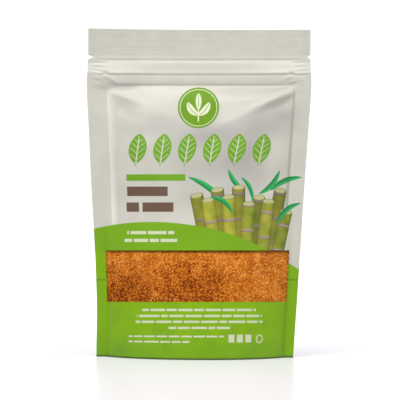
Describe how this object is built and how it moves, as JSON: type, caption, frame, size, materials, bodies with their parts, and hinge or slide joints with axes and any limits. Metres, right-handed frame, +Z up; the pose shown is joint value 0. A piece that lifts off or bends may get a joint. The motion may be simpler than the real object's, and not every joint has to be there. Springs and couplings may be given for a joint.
{
  "type": "stand-up pouch of granulated panela sugar",
  "caption": "Filled stand-up zip pouch with a flat sealed header, a folded standing bottom and a clear front window that shows granulated cane sugar.",
  "frame": {"origin": "middle of the base, on the surface that the pouch stands on", "axes": "+Z up to the header's top edge; the front panel with the window faces -Y; +X is to the right seen from the front"},
  "size_m": [0.2, 0.075, 0.292],
  "materials": {
    "printed_film": "satin laminated film, cream above and green below",
    "sugar": "loose brown sugar crystals and small lumps",
    "clear_film": "clear glossy film"
  },
  "bodies": {
    "root": {"pouch": "printed_film", "panela_sugar": "sugar", "window_film": "clear_film"}
  },
  "joints": []
}
